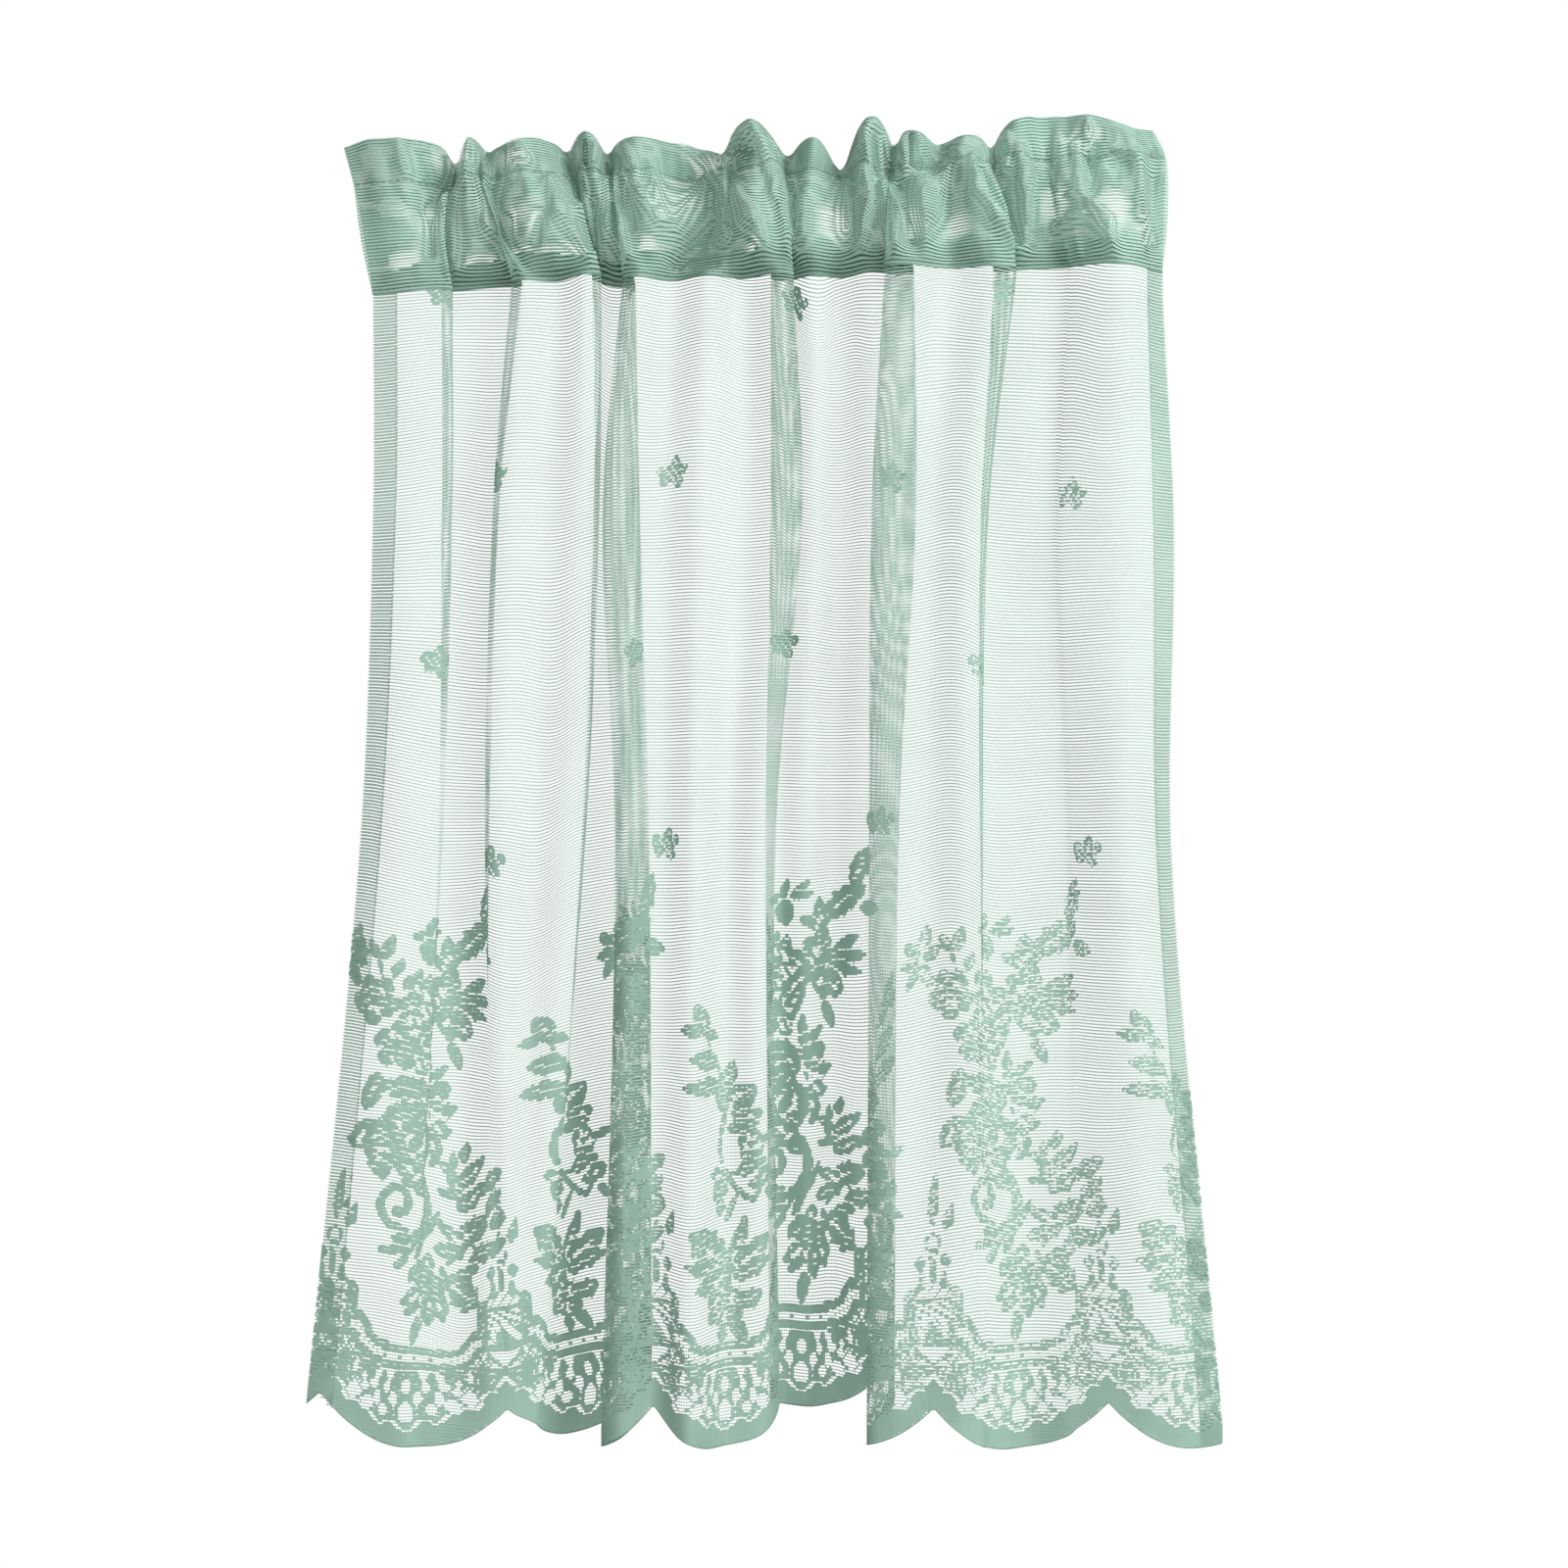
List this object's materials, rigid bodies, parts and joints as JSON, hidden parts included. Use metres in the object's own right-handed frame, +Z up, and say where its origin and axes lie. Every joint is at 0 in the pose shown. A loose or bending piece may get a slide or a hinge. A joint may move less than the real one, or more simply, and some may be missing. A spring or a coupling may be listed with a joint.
{
  "type": "lace valance",
  "caption": "Lace curtain valance: gathered knitted lace with floral motifs and a scalloped lower edge, hanging in soft folds from a rod pocket below a ruffled heading.",
  "frame": {"origin": "middle of the line on which the curtain rod passes through the pocket", "axes": "+Z up, -Y is the front that faces the room, +X to the right seen from the front"},
  "size_m": [0.4265, 0.078, 0.6226],
  "materials": {
    "lace": "matte"
  },
  "bodies": {
    "root": {"panel": "lace", "heading": "lace"}
  },
  "joints": []
}
